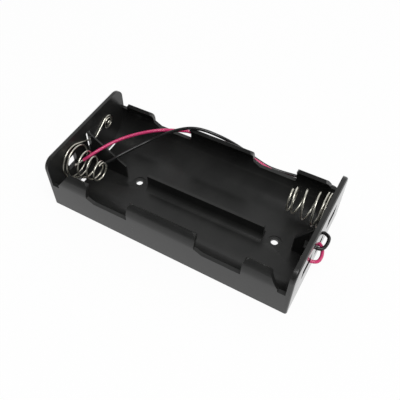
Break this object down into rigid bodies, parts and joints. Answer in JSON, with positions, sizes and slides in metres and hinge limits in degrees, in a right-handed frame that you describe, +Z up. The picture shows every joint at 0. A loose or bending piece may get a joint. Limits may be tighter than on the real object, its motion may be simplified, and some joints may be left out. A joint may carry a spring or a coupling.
{
  "type": "battery holder",
  "caption": "Open moulded tray that holds two rows of C size cells between coil spring and button contacts, with a red and a black lead.",
  "frame": {"origin": "bottom centre of the tray, on the surface that it stands on", "axes": "+X along the rows of cells towards the end that the leads leave, +Y across the rows to the far side wall, +Z up"},
  "size_m": [0.1198, 0.0653, 0.0275],
  "materials": {
    "tray_plastic": "black moulded plastic, satin",
    "spring_wire": "nickel plated spring steel wire",
    "solder": "solder, dull bright",
    "red_insulation": "red PVC insulation",
    "black_insulation": "black PVC insulation",
    "tinned_copper": "tinned copper strands"
  },
  "bodies": {
    "root": {"housing": "tray_plastic", "left_contact": "spring_wire", "negative_contact": "spring_wire", "positive_contact": "spring_wire", "black_solder": "solder", "red_solder": "solder", "red_lead": "red_insulation", "black_lead": "black_insulation", "red_tinned_end": "tinned_copper", "black_tinned_end": "tinned_copper"}
  },
  "joints": []
}
